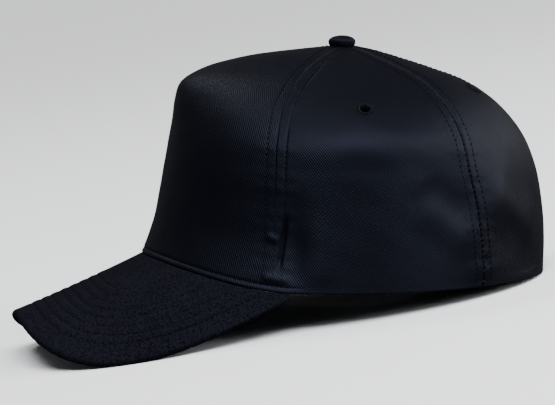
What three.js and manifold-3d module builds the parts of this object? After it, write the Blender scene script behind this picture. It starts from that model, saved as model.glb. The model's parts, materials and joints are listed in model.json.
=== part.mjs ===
// A five panel cap in dark twill, lying on a flat surface as it rests by itself.
// Millimetres, +Z up, the peak toward -Y, the wearer's left toward +X.
// Every piece is shaped in the worn frame, with its origin at the middle of the rim,
// and the finished cap is then tipped back until peak and back rim touch the surface.

import * as THREE from 'three';
import { mergeVertices } from 'three/addons/utils/BufferGeometryUtils.js';
import Module from 'manifold-3d';

const wasm = await Module();
wasm.setup();

// Crown
const crownLength = 200; // outside, front to back at the rim
const crownWidth = 160; // outside, side to side at the rim
const crownHeight = 113.6; // from the side rim to the top, under the button
const sideRimHeight = -0.4; // the rim at the sides, against the peak's ends
const backRimHeight = 1.0; // the rim at the centre back
const clothThickness = 1.6; // twill with its backing
const seamDepth = 0.5; // how far a seam is drawn in
const seamReach = 5; // how far to each side a seam draws the cloth in
const heldLevel = 0.08; // share of the height over which the rim holds the cloth even
const heldReach = 12; // distance from the top over which the button holds it even
const clearance = 0.3; // between neighbouring pieces

const seamGap = 1.2 * clearance; // panels meet at a slant, so a little more than the clearance

// Directions round the rim, in degrees from the centre front
const frontSeamAngle = 58;
const backSeamAngle = 121;
const centreBackAngle = 180;

// Peak
const peakReach = 63.9; // level distance from the crown's front to the tip
const peakThickness = 3;
const peakEndThickness = 1; // where the peak runs out along the rim
const peakEndAngle = 64; // place of the peak's end on the rim
const peakEndWidth = 2.4; // how far the peak stands out at its end
const peakFallAngle = 24.5; // fall of the peak's middle line from the crown
const peakTipLift = 2.7; // how far the tip stands above that straight fall
const peakEndSteepness = 57.2; // sideways steepness of the bent peak at its ends
const peakTipBend = 0.866; // radius of the bend at the tip, as a share of that at the ends
const peakTuck = 1.2; // how far its inner edge reaches under the crown's wall
const peakRoundness = 2.7; // 2 is an ellipse, more is squarer
const peakTaperShare = 0.18; // share of each half in which the peak thins toward its end

// Sweatband
const sweatbandWidth = 32;
const sweatbandThickness = 1.5;
const sweatbandLift = 3; // its lower edge above the rim

// Button
const buttonDiameter = 13.2;
const buttonHeight = 4.6;
const buttonBelly = 0.38; // height of its widest place, as a share of its height
const buttonTuck = 0.8; // radius of its flat underside, as a share of its radius
const buttonStemDiameter = 3.4;
const buttonStemLength = 4;

// Sewn eyelets
const eyeletDiameter = 8.2;
const eyeletHoleDiameter = 3.8;
const eyeletRidge = 0.7; // how far the sewn ring stands off the cloth
const eyeletWaist = 1; // thickness of the ring inside the cloth's hole
const eyeletClothBend = 28; // tightest bend of the cloth near an eyelet
const sideEyeletAngle = 87.6;
const backEyeletAngle = 158;
const sideEyeletLevel = 0.75; // share of the crown's height
const backEyeletLevel = 0.814;

// Rest
const flattening = 0.35; // how far cloth is pressed flat where it touches the surface

// Steps of the faceted surfaces
const angleStep = 5; // degrees round the crown
const peakAngleStep = 4; // degrees of the rim, along the peak
const rowsUp = 17; // rows from the rim to the top
const peakRows = 8; // rows from the rim to the peak's edge
const turnSegments = 16;

// Level sections of the crown. up is the share of the height from rim to top, and across
// draws the whole section in from side to side. The others are shares of the rim's own size
// in that direction: centre front, front seam, middle of the side, back seam and centre back.
const crownSections = [
  { up: 0.0, across: 1.0, front: 1.0, frontSeam: 1.0, side: 1.0, backSeam: 1.0, back: 1.0 },
  { up: 0.167, across: 1.0, front: 0.947, frontSeam: 0.952, side: 0.99, backSeam: 0.981, back: 1.007 },
  { up: 0.335, across: 1.0, front: 0.911, frontSeam: 0.932, side: 0.975, backSeam: 0.956, back: 0.996 },
  { up: 0.493, across: 1.0, front: 0.876, frontSeam: 0.919, side: 0.958, backSeam: 0.922, back: 0.957 },
  { up: 0.631, across: 0.99, front: 0.848, frontSeam: 0.889, side: 0.93, backSeam: 0.87, back: 0.883 },
  { up: 0.749, across: 0.945, front: 0.832, frontSeam: 0.808, side: 0.79, backSeam: 0.783, back: 0.764 },
  { up: 0.838, across: 0.88, front: 0.799, frontSeam: 0.686, side: 0.625, backSeam: 0.654, back: 0.611 },
  { up: 0.897, across: 0.84, front: 0.7, frontSeam: 0.56, side: 0.48, backSeam: 0.493, back: 0.45 },
  { up: 0.942, across: 0.82, front: 0.543, frontSeam: 0.416, side: 0.345, backSeam: 0.326, back: 0.296 },
  { up: 0.977, across: 0.82, front: 0.318, frontSeam: 0.237, side: 0.19, backSeam: 0.162, back: 0.151 },
  { up: 1.0, across: 0.82, front: 0.0, frontSeam: 0.0, side: 0.0, backSeam: 0.0, back: 0.0 },
];

// Soft dents and swells of the cloth. angle is in degrees from the centre front, up and
// tall are shares of the crown's height, wide is in degrees, out is in millimetres.
const crownFolds = [
  { angle: 65, up: 0.16, wide: 4, tall: 0.14, out: -1.2 },
  { angle: 72, up: 0.18, wide: 5, tall: 0.2, out: 0.9 },
  { angle: 105, up: 0.3, wide: 12, tall: 0.22, out: -0.9 },
  { angle: 131, up: 0.4, wide: 6, tall: 0.16, out: 0.9 },
  { angle: -66, up: 0.2, wide: 5, tall: 0.16, out: -1.0 },
  { angle: -100, up: 0.28, wide: 12, tall: 0.2, out: -0.8 },
  { angle: 0, up: 0.3, wide: 22, tall: 0.25, out: -1.0 },
];

const radians = THREE.MathUtils.degToRad;
const halfLength = crownLength / 2;
const halfWidth = crownWidth / 2;
const peakEnd = {
  x: halfWidth * Math.sin(radians(peakEndAngle)),
  y: -halfLength * Math.cos(radians(peakEndAngle)),
};

// Peak surface: a sheet bent round its middle line, more tightly toward the tip

const peakDepth = halfLength + peakEnd.y; // from the line between the ends to the crown's front
const peakPatternLength = peakDepth + peakReach;
const peakFall = Math.tan(radians(peakFallAngle));
const peakEndRadius = peakEnd.x / Math.sin(radians(peakEndSteepness));
const peakFrontRise = peakEndRadius * (1 - Math.cos(radians(peakEndSteepness))) - peakFall * peakDepth;

function peakRadius(forward) {
  return peakEndRadius * THREE.MathUtils.lerp(1, peakTipBend, forward / peakPatternLength);
}

// across is measured along the bent sheet, forward from the line between the peak's ends
function peakPoint(across, forward) {
  const radius = peakRadius(forward);
  const ahead = forward - peakDepth;
  const lift = peakTipLift * (Math.max(ahead, 0) / peakReach) ** 2;
  const middle = peakFrontRise - peakFall * ahead + lift;
  return new THREE.Vector3(
    radius * Math.sin(across / radius),
    peakEnd.y - forward,
    middle - radius * (1 - Math.cos(across / radius)),
  );
}

function peakNormal(across, forward) {
  const step = 0.5; // millimetres to each side
  const aside = peakPoint(across + step, forward).sub(peakPoint(across - step, forward));
  const ahead = peakPoint(across, forward + step).sub(peakPoint(across, forward - step));
  return ahead.cross(aside).normalize();
}

function peakTopHeight(x, y) {
  const forward = peakEnd.y - y;
  const radius = peakRadius(forward);
  const across = radius * Math.asin(THREE.MathUtils.clamp(x / radius, -1, 1));
  return peakPoint(across, forward).z;
}

// Crown surface

function signedAngle(angle) {
  return THREE.MathUtils.euclideanModulo(angle + 180, 360) - 180;
}

function rimPlace(angle) {
  const turn = radians(angle);
  return { x: halfWidth * Math.sin(turn), y: -halfLength * Math.cos(turn) };
}

// Height of the crown's lower edge: over the peak in front, nearly level elsewhere
function rimHeight(angle) {
  const turn = Math.abs(signedAngle(angle));
  if (turn <= peakEndAngle) {
    const { x, y } = rimPlace(angle);
    return peakTopHeight(x, y) + clearance;
  }
  const toSide = THREE.MathUtils.smoothstep(turn, peakEndAngle, 90);
  const toBack = THREE.MathUtils.smoothstep(turn, 90, centreBackAngle);
  const side = THREE.MathUtils.lerp(clearance, sideRimHeight, toSide);
  return THREE.MathUtils.lerp(side, backRimHeight, toBack);
}

// Smooth curve through values at uneven places, with the slope taken from the neighbours
function smoothThrough(places, values, place) {
  let i = 1;
  while (i < places.length - 3 && place > places[i + 1]) {
    i += 1;
  }
  const span = places[i + 1] - places[i];
  const s = (place - places[i]) / span;
  const slopeIn = ((values[i + 1] - values[i - 1]) / (places[i + 1] - places[i - 1])) * span;
  const slopeOut = ((values[i + 2] - values[i]) / (places[i + 2] - places[i])) * span;
  const s2 = s * s;
  const s3 = s2 * s;
  return (
    (2 * s3 - 3 * s2 + 1) * values[i] +
    (s3 - 2 * s2 + s) * slopeIn +
    (3 * s2 - 2 * s3) * values[i + 1] +
    (s3 - s2) * slopeOut
  );
}

// Size of one level section in one direction, as a share of the rim's own size there
function sectionShare(section, angle) {
  const turn = Math.abs(signedAngle(angle));
  const { front, frontSeam, side, backSeam, back } = section;
  const places = [
    -frontSeamAngle, 0, frontSeamAngle, 90, backSeamAngle, 180, 360 - backSeamAngle,
  ];
  return smoothThrough(places, [frontSeam, front, frontSeam, side, backSeam, back, backSeam], turn);
}

// Place along the sections, from 0 at the rim to the last one at the top
function alongSections(name, angle, row) {
  const last = crownSections.length - 1;
  const value = (i) => {
    const section = crownSections[i > last ? 2 * last - i : i];
    if (name !== 'out') {
      return section[name];
    }
    return i > last ? -sectionShare(section, angle) : sectionShare(section, angle);
  };
  const i = Math.min(Math.floor(row), last - 1);
  const before = i === 0 ? 2 * value(0) - value(1) : value(i - 1);
  const values = [before, value(i), value(i + 1), value(i + 2)];
  return smoothThrough([i - 1, i, i + 1, i + 2], values, row);
}

function foldOut(angle, up) {
  let out = 0;
  for (const fold of crownFolds) {
    const aside = signedAngle(angle - fold.angle) / fold.wide;
    const above = (up - fold.up) / fold.tall;
    out += fold.out * Math.exp(-(aside * aside) - above * above);
  }
  return out;
}

const seamAngles = [frontSeamAngle, backSeamAngle, centreBackAngle, -backSeamAngle, -frontSeamAngle];

function seamIn(angle, reach) {
  let depth = 0;
  for (const seam of seamAngles) {
    const aside = (radians(Math.abs(signedAngle(angle - seam))) * reach) / seamReach;
    depth += seamDepth * Math.exp(-aside * aside);
  }
  return depth;
}

function crownPoint(angle, row) {
  const share = alongSections('out', angle, row);
  const up = alongSections('up', angle, row);
  const across = alongSections('across', angle, row);
  const { x, y } = rimPlace(angle);
  const reach = Math.hypot(x * across, y) * share;
  // folds and seams fade out where the cloth is held: at the rim and under the button
  const atRim = THREE.MathUtils.smoothstep(up, 0, heldLevel);
  const held = atRim * THREE.MathUtils.smoothstep(reach, 0, heldReach);
  const scale = share + (held * (foldOut(angle, up) - seamIn(angle, reach))) / Math.hypot(x, y);
  const rim = rimHeight(angle);
  return new THREE.Vector3(x * across * scale, y * scale, rim + up * (crownHeight - rim));
}

function crownNormal(angle, row) {
  const step = 0.15; // rows below and above
  const aside = 1; // degrees to each side
  const low = Math.max(row - step, 0);
  const high = Math.min(row + step, crownSections.length - 1 - step / 8);
  const around = crownPoint(angle + aside, row).sub(crownPoint(angle - aside, row));
  const upward = crownPoint(angle, high).sub(crownPoint(angle, low));
  return around.cross(upward).normalize();
}

// A point of the crown's wall, inset from its outer face
function wallPoint(angle, row, inset) {
  const point = crownPoint(angle, row).addScaledVector(crownNormal(angle, row), -inset);
  if (row === 0) {
    point.z = rimHeight(angle);
  }
  return point;
}

// Row at which the crown's surface has a given share of the height
function rowAtLevel(up) {
  let low = 0;
  let high = crownSections.length - 1;
  for (let i = 0; i < 30; i += 1) {
    const middle = (low + high) / 2;
    if (alongSections('up', 0, middle) < up) {
      low = middle;
    } else {
      high = middle;
    }
  }
  return (low + high) / 2;
}

// Solids from grids of points

// Closed shell between two grids of points, columns[i][j], running round and then up.
// closed joins the last column to the first.
function shell(outer, inner, closed) {
  const columns = outer.length;
  const rows = outer[0].length;
  const positions = [];
  for (const grid of [outer, inner]) {
    for (const column of grid) {
      for (const point of column) {
        positions.push(point.x, point.y, point.z);
      }
    }
  }
  const index = [];
  const at = (face, i, j) => face * columns * rows + (i % columns) * rows + j;
  const quad = (a, b, c, d) => index.push(a, b, c, a, c, d);
  const spans = closed ? columns : columns - 1;
  for (let i = 0; i < spans; i += 1) {
    for (let j = 0; j < rows - 1; j += 1) {
      quad(at(0, i, j), at(0, i + 1, j), at(0, i + 1, j + 1), at(0, i, j + 1));
      quad(at(1, i, j), at(1, i, j + 1), at(1, i + 1, j + 1), at(1, i + 1, j));
    }
    quad(at(0, i, 0), at(1, i, 0), at(1, i + 1, 0), at(0, i + 1, 0));
    const top = rows - 1;
    quad(at(0, i, top), at(0, i + 1, top), at(1, i + 1, top), at(1, i, top));
  }
  if (!closed) {
    const end = columns - 1;
    for (let j = 0; j < rows - 1; j += 1) {
      quad(at(0, 0, j), at(0, 0, j + 1), at(1, 0, j + 1), at(1, 0, j));
      quad(at(0, end, j), at(1, end, j), at(1, end, j + 1), at(0, end, j + 1));
    }
  }
  const geometry = new THREE.BufferGeometry();
  geometry.setAttribute('position', new THREE.Float32BufferAttribute(positions, 3));
  geometry.setIndex(index);
  return geometry;
}

function toSolid(source) {
  const bare = source.clone();
  bare.deleteAttribute('normal');
  bare.deleteAttribute('uv');
  const merged = mergeVertices(bare, 1e-4);
  const vertProperties = new Float32Array(merged.attributes.position.array);
  const triVerts = new Uint32Array(merged.index.array);
  return new wasm.Manifold(new wasm.Mesh({ numProp: 3, vertProperties, triVerts }));
}

function toGeometry(solid) {
  const mesh = solid.getMesh();
  const geometry = new THREE.BufferGeometry();
  geometry.setAttribute('position', new THREE.BufferAttribute(mesh.vertProperties, 3));
  geometry.setIndex(new THREE.BufferAttribute(mesh.triVerts, 1));
  return geometry;
}

function evenSteps(start, end, step) {
  const count = Math.max(2, Math.ceil((end - start) / step));
  return Array.from({ length: count + 1 }, (unused, i) => start + ((end - start) * i) / count);
}

// Sub-parts, in the worn frame

const topLevel = 0.9997; // panels end just short of the very top, inside the stem's hole
const topRow = rowAtLevel(topLevel);

function panelRows() {
  return evenSteps(0, topRow, topRow / rowsUp);
}

// One cloth panel between two seams, cut free of its neighbours, the button's stem
// and the eyelet, if it has one
function panelSolid(startAngle, endAngle, eyelet) {
  const angles = evenSteps(startAngle, endAngle, angleStep);
  const rows = panelRows();
  const grid = (inset) => angles.map((angle, i) => rows.map((row) => {
    const atSeam = i === 0 || i === angles.length - 1;
    if (!atSeam) {
      return wallPoint(angle, row, inset);
    }
    const reach = crownPoint(angle, row);
    const halfGap = THREE.MathUtils.radToDeg(seamGap / 2 / Math.hypot(reach.x, reach.y));
    return wallPoint(angle + (i === 0 ? halfGap : -halfGap), row, inset);
  }));
  let solid = toSolid(shell(grid(0), grid(clothThickness), false));
  solid = solid.subtract(toSolid(stemHoleCutter()));
  if (eyelet) {
    solid = solid.subtract(toSolid(eyeletHoleCutter(eyelet)));
  }
  return solid;
}

function stemHoleCutter() {
  const radius = buttonStemDiameter / 2 + clearance;
  const cutter = new THREE.CylinderGeometry(radius, radius, crownHeight, turnSegments);
  cutter.rotateX(Math.PI / 2);
  cutter.translate(0, 0, crownHeight);
  return cutter;
}

const eyelets = {
  side_eyelet_left: { angle: sideEyeletAngle, level: sideEyeletLevel },
  side_eyelet_right: { angle: -sideEyeletAngle, level: sideEyeletLevel },
  back_eyelet_left: { angle: backEyeletAngle, level: backEyeletLevel },
  back_eyelet_right: { angle: -backEyeletAngle, level: backEyeletLevel },
};

// Place and direction of an eyelet: the middle of the cloth's thickness, facing out
function eyeletSeat({ angle, level }) {
  const row = rowAtLevel(level);
  const normal = crownNormal(angle, row);
  const position = crownPoint(angle, row).addScaledVector(normal, -clothThickness / 2);
  const turn = new THREE.Quaternion().setFromUnitVectors(new THREE.Vector3(0, 1, 0), normal);
  return { position, turn };
}

function eyeletHoleCutter(eyelet) {
  const { position, turn } = eyeletSeat(eyelet);
  const radius = eyeletHoleDiameter / 2 + eyeletWaist + clearance;
  const cutter = new THREE.CylinderGeometry(radius, radius, 6 * clothThickness, turnSegments);
  cutter.applyQuaternion(turn);
  cutter.translate(position.x, position.y, position.z);
  return cutter;
}

// A ring of thread sewn round the edge of the hole, a ridge on each face of the cloth
function eyeletGeometry() {
  const inner = eyeletHoleDiameter / 2;
  const outer = eyeletDiameter / 2;
  const waist = inner + eyeletWaist;
  const lip = clothThickness / 2 + clearance;
  const crest = lip + eyeletRidge;
  const dish = outer ** 2 / (2 * eyeletClothBend); // how far the cloth bends in under the ring
  const profile = [
    [inner, -lip - dish],
    [waist, -crest - dish],
    [outer - eyeletRidge / 2, -crest - dish],
    [outer, -lip - dish],
    [waist, -lip - dish],
    [waist, lip],
    [outer, lip],
    [outer - eyeletRidge / 2, crest],
    [waist, crest],
    [inner, lip],
    [inner, -lip - dish],
  ];
  return new THREE.LatheGeometry(profile.map(([r, h]) => new THREE.Vector2(r, h)), turnSegments);
}

// A cloth-covered button: a flattened dome with a tucked-in underside, on a short stem
function buttonGeometry() {
  const radius = buttonDiameter / 2;
  const stem = buttonStemDiameter / 2;
  const belly = buttonBelly * buttonHeight;
  const tuck = buttonTuck * radius;
  const profile = [[0, -buttonStemLength], [stem, -buttonStemLength], [stem, 0]];
  const under = evenSteps(-Math.PI / 2, 0, Math.PI / 6);
  const over = evenSteps(0, Math.PI / 2, Math.PI / 14).slice(1, -1);
  for (const turn of under) {
    profile.push([tuck + (radius - tuck) * Math.cos(turn), belly + belly * Math.sin(turn)]);
  }
  for (const turn of over) {
    profile.push([radius * Math.cos(turn), belly + (buttonHeight - belly) * Math.sin(turn)]);
  }
  profile.push([0, buttonHeight]);
  return new THREE.LatheGeometry(profile.map(([r, h]) => new THREE.Vector2(r, h)), turnSegments);
}

// The stiff peak: its outer edge is a squared ellipse drawn on the flat sheet, and its inner
// edge follows the rim, with a level tuck under the crown's wall
function peakGrids() {
  const halfPattern = peakEndRadius * radians(peakEndSteepness) + peakEndWidth;
  const turns = evenSteps(-peakEndAngle, peakEndAngle, peakAngleStep);
  const shares = evenSteps(0, 1, 1 / peakRows);
  const top = [];
  const under = [];
  for (const angle of turns) {
    const seat = rimPlace(angle);
    const innerForward = peakEnd.y - seat.y;
    const innerRadius = peakRadius(innerForward);
    const innerAcross = innerRadius * Math.asin(seat.x / innerRadius);
    const swing = (angle / peakEndAngle) * (Math.PI / 2);
    const power = 2 / peakRoundness;
    const outerAcross = halfPattern * Math.sign(angle) * Math.abs(Math.sin(swing)) ** power;
    const outerForward = peakPatternLength * Math.max(Math.cos(swing), 0) ** power;
    const toEnd = THREE.MathUtils.smoothstep(Math.abs(angle) / peakEndAngle, 1 - peakTaperShare, 1);
    const thickness = THREE.MathUtils.lerp(peakThickness, peakEndThickness, toEnd);
    const topColumn = [];
    const underColumn = [];
    for (const share of shares) {
      const across = THREE.MathUtils.lerp(innerAcross, outerAcross, share);
      const forward = THREE.MathUtils.lerp(innerForward, outerForward, share);
      const point = peakPoint(across, forward);
      topColumn.push(point);
      underColumn.push(point.clone().addScaledVector(peakNormal(across, forward), -thickness));
    }
    const tuck = crownNormal(angle, 0).setZ(0).multiplyScalar(-peakTuck);
    topColumn.unshift(topColumn[0].clone().add(tuck));
    underColumn.unshift(underColumn[0].clone().add(tuck));
    top.push(topColumn);
    under.push(underColumn);
  }
  return { top, under };
}

function peakSolid() {
  const { top, under } = peakGrids();
  // columns run toward +X and rows away from the crown, so the underside is the outer face
  return toSolid(shell(under, top, false));
}

// A plain band inside the rim, lying against the wall. It shares the panels' steps, so that
// its flat facets lie along theirs.
function sweatbandSolid() {
  const turns = [-centreBackAngle, -backSeamAngle, -frontSeamAngle, frontSeamAngle, backSeamAngle];
  const ends = [...turns.slice(1), centreBackAngle];
  const angles = turns.flatMap((start, i) => evenSteps(start, ends[i], angleStep).slice(0, -1));
  const rowAtLift = (angle, lift) => rowAtLevel(lift / (crownHeight - rimHeight(angle)));
  const upperLift = sweatbandLift + sweatbandWidth;
  const first = Math.max(...angles.map((angle) => rowAtLift(angle, sweatbandLift)));
  const last = Math.min(...angles.map((angle) => rowAtLift(angle, upperLift)));
  const between = panelRows().filter((row) => row > first + 0.1 && row < last - 0.1);
  const grid = (inset) => angles.map((angle) => {
    const rows = [rowAtLift(angle, sweatbandLift), ...between, rowAtLift(angle, upperLift)];
    return rows.map((row) => wallPoint(angle, row, inset));
  });
  const innerFace = clothThickness + clearance;
  return toSolid(shell(grid(innerFace), grid(innerFace + sweatbandThickness), true));
}

// Rest: tip the cap back until the peak's edges and the back rim are equally low

function lowest(points, tilt) {
  const turned = points.map((point) => point.y * Math.sin(tilt) + point.z * Math.cos(tilt));
  return Math.min(...turned);
}

function restTilt() {
  const peakPoints = peakGrids().under.flat();
  const backPoints = evenSteps(90, 270, 1).map((angle) => crownPoint(angle, 0));
  let low = -Math.PI / 4;
  let high = 0;
  for (let i = 0; i < 40; i += 1) {
    const middle = (low + high) / 2;
    if (lowest(peakPoints, middle) > lowest(backPoints, middle)) {
      low = middle;
    } else {
      high = middle;
    }
  }
  const tilt = (low + high) / 2;
  return { tilt, height: -lowest(backPoints, tilt) - flattening };
}

const rest = restTilt();

// What would reach below the surface is pressed flat
function pressFlat(solid) {
  const depth = crownHeight;
  const slab = new THREE.BoxGeometry(3 * crownWidth, 3 * crownLength, depth);
  slab.translate(0, 0, -depth / 2 - rest.height);
  slab.rotateX(-rest.tilt);
  return solid.subtract(toSolid(slab));
}

// Materials

const crownTwill = new THREE.MeshStandardMaterial({ color: 0x171a24, roughness: 0.62, metalness: 0 });
const peakTwill = new THREE.MeshStandardMaterial({ color: 0x13141c, roughness: 0.85, metalness: 0 });
const buttonTwill = new THREE.MeshStandardMaterial({ color: 0x12141d, roughness: 0.7, metalness: 0 });
const eyeletThread = new THREE.MeshStandardMaterial({ color: 0x10121a, roughness: 0.6, metalness: 0 });
const bandCotton = new THREE.MeshStandardMaterial({ color: 0x14151b, roughness: 0.9, metalness: 0 });

function named(name, geometry, material) {
  geometry.computeVertexNormals();
  const mesh = new THREE.Mesh(geometry, material);
  mesh.name = name;
  return mesh;
}

function buildCap() {
  const cap = new THREE.Group();
  const frontPanel = panelSolid(-frontSeamAngle, frontSeamAngle);
  const panels = {
    front_panel: frontPanel,
    side_panel_left: panelSolid(frontSeamAngle, backSeamAngle, eyelets.side_eyelet_left),
    side_panel_right: panelSolid(-backSeamAngle, -frontSeamAngle, eyelets.side_eyelet_right),
    back_panel_left: panelSolid(backSeamAngle, centreBackAngle, eyelets.back_eyelet_left),
    back_panel_right: panelSolid(-centreBackAngle, -backSeamAngle, eyelets.back_eyelet_right),
  };
  for (const [name, solid] of Object.entries(panels)) {
    cap.add(named(name, toGeometry(pressFlat(solid)), crownTwill));
  }
  for (const [name, eyelet] of Object.entries(eyelets)) {
    const ring = named(name, eyeletGeometry(), eyeletThread);
    const { position, turn } = eyeletSeat(eyelet);
    ring.position.copy(position);
    ring.quaternion.copy(turn);
    cap.add(ring);
  }
  const button = named('button', buttonGeometry(), buttonTwill);
  button.rotation.x = Math.PI / 2;
  button.position.z = crownHeight + clearance;
  cap.add(button);
  cap.add(named('peak', toGeometry(pressFlat(peakSolid())), peakTwill));
  cap.add(named('sweatband', toGeometry(sweatbandSolid()), bandCotton));
  return cap;
}

// The tipped cap, moved so that the origin is under the middle of its outline
function capAtRest() {
  const cap = buildCap();
  cap.rotation.x = rest.tilt;
  cap.position.z = rest.height;
  const whole = new THREE.Group();
  whole.add(cap);
  whole.updateMatrixWorld(true);
  const box = new THREE.Box3().setFromObject(whole, true);
  cap.position.x -= (box.min.x + box.max.x) / 2;
  cap.position.y -= (box.min.y + box.max.y) / 2;
  return whole;
}

export default capAtRest();
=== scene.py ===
import json
import math

import bmesh
import bpy
import numpy as np
from mathutils import Matrix, Vector


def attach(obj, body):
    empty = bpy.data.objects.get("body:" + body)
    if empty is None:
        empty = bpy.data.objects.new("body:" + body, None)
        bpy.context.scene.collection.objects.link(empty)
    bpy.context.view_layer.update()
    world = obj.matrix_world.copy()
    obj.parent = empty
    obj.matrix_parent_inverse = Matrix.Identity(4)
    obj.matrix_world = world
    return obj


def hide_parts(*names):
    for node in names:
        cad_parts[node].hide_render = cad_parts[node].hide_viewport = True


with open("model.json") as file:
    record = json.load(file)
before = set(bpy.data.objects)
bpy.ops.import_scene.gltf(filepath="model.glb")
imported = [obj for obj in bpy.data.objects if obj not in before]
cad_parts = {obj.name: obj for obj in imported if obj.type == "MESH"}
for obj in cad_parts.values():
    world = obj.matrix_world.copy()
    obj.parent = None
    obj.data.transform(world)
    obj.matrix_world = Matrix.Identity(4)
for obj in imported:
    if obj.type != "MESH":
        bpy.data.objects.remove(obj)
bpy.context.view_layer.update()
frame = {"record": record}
print("frame loaded")

# All lengths are metres. Pieces are shaped in the worn frame, with the origin at the middle
# of the rim and the peak toward -Y, and then tipped into the frame's resting place.
headOpening = next(m for m in frame["record"]["mounts"] if m["name"] == "head_opening")
restTilt = math.atan2(headOpening["axis"][1], -headOpening["axis"][2])
restTurn = Matrix.Rotation(restTilt, 3, "X")
restPlace = Vector(headOpening["pos_m"])


def toRest(points):
    placed = points @ np.array(restTurn).T + np.array(restPlace)
    placed[..., 2] = np.maximum(placed[..., 2], 0.0)  # cloth is pressed flat on the surface
    return placed


def turnToRest(directions):
    return directions @ np.array(restTurn).T


# Camera: the photograph's view of the worn frame
view = {
    "azimuth": 77.84,
    "elevation": 4.98,
    "roll": -0.51,
    "distance": 1.4,
    "pixelsPerMetre": 2020,
    "imageWidth": 555,
    "imageHeight": 405,
    "originAcross": 343.5,  # pixel where the middle of the rim lies
    "originDown": 274.9,
    "sensor": 36,
    "clip": (0.05, 100),
}


def direction(azimuth, elevation):
    turn, rise = math.radians(azimuth), math.radians(elevation)
    return Vector((math.sin(turn) * math.cos(rise), -math.cos(turn) * math.cos(rise), math.sin(rise)))


def makeCamera():
    turn = math.radians(view["azimuth"])
    roll = math.radians(view["roll"])
    back = direction(view["azimuth"], view["elevation"])
    level = Vector((math.cos(turn), math.sin(turn), 0))
    right = level * math.cos(roll) + back.cross(level) * math.sin(roll)
    up = back.cross(right)
    aside = (view["originAcross"] - view["imageWidth"] / 2) / view["pixelsPerMetre"]
    above = (view["imageHeight"] / 2 - view["originDown"]) / view["pixelsPerMetre"]
    place = back * view["distance"] - right * aside - up * above
    data = bpy.data.cameras.new("camera")
    data.sensor_width = view["sensor"]
    focal = view["pixelsPerMetre"] * view["distance"] / view["imageWidth"]
    data.lens = view["sensor"] * focal
    data.clip_start, data.clip_end = view["clip"]
    camera = bpy.data.objects.new("camera", data)
    bpy.context.scene.collection.objects.link(camera)
    camera.matrix_world = (
        Matrix.Translation(restPlace)
        @ restTurn.to_4x4()
        @ Matrix.Translation(place)
        @ Matrix((right, up, back)).transposed().to_4x4()
    )
    bpy.context.scene.camera = camera


makeCamera()
print("camera placed")

# Crown: the cloth surface from level sections, as shares of the rim's size in each direction
crown = {
    "length": 0.2,
    "width": 0.16,
    "height": 0.1136,
    "sideRim": -0.0004,
    "backRim": 0.001,
    "rimGap": 0.0003,
    "cloth": 0.0016,
    "seamDepth": 0.0001,
    "seamReach": 0.004,
    "seamRidge": {"front": 0.0003, "back": 0.0013},
    "ridgeReach": 0.011,
    "heldLevel": 0.08,
    "heldReach": 0.012,
    "frontSeam": 58,
    "backSeam": 121,
}
crownSections = {
    "up": [0, 0.167, 0.335, 0.493, 0.631, 0.749, 0.838, 0.897, 0.942, 0.977, 1],
    "across": [1, 1, 1, 1, 0.99, 0.945, 0.88, 0.84, 0.82, 0.82, 0.82],
    "front": [1, 0.947, 0.911, 0.876, 0.848, 0.832, 0.799, 0.7, 0.543, 0.318, 0],
    "frontSeam": [1, 0.952, 0.932, 0.919, 0.889, 0.808, 0.686, 0.56, 0.416, 0.237, 0],
    "side": [1, 0.99, 0.975, 0.958, 0.93, 0.79, 0.625, 0.48, 0.345, 0.19, 0],
    "backSeam": [1, 0.981, 0.956, 0.922, 0.87, 0.783, 0.654, 0.493, 0.326, 0.162, 0],
    "back": [1, 1.007, 0.996, 0.957, 0.883, 0.764, 0.611, 0.45, 0.296, 0.151, 0],
}
topRow = len(crownSections["up"]) - 1
# Dents and swells: degrees from the centre front, share of the height, and their reach
crownFolds = {
    "angle": [65, 72, 105, 131, -66, -100, 0],
    "up": [0.16, 0.18, 0.3, 0.4, 0.2, 0.28, 0.3],
    "wide": [4, 5, 12, 6, 5, 12, 22],
    "tall": [0.14, 0.2, 0.22, 0.16, 0.16, 0.2, 0.25],
    "out": [-0.0012, 0.0009, -0.0009, 0.0009, -0.001, -0.0008, -0.001],
}
# How far each seam wanders from its angle at each section, in degrees away from the front
seamWander = {
    "front": [1, 1, 1, 1, 1, 1.2, 2.5, 3.5, 5, 6.5, 7],
    "back": [0.5, 0.5, 0, -1.5, -1.5, -2, -2.3, -2.5, -3.5, -4, -4],
}
# Soft folds along lines: both ends in degrees and share of the height, width and swell in metres
softFolds = {
    "fromAngle": [102, 100, 121, 124, 62.6, 55, 56, 122.5, 61.5, -64, -98, -122, 18],
    "fromUp": [0.46, 0.385, 0.43, 0.27, 0.34, 0.055, 0.235, 0.135, 0.84, 0.34, 0.48, 0.52, 0.33],
    "toAngle": [119, 120.5, 155, 155, 60.3, 65, 60.4, 123.4, 67.5, -62, -119, -149, 34],
    "toUp": [0.27, 0.15, 0.16, 0.04, 0.06, 0.05, 0.205, 0.07, 0.95, 0.08, 0.24, 0.25, 0.09],
    "wide": [0.0075, 0.008, 0.0095, 0.013, 0.0011, 0.0024, 0.0018, 0.0014, 0.0026, 0.0015, 0.007, 0.01,
             0.008],
    "out": [-0.0009, 0.0012, 0.0013, -0.0008, -0.0013, 0.0007, 0.0006, -0.0004, -0.0011, -0.0008,
            -0.001, 0.0012, 0.0005],
}
foldTaper = 0.3  # share of a fold's length over which it fades at each end
foldSteps = 25
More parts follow.
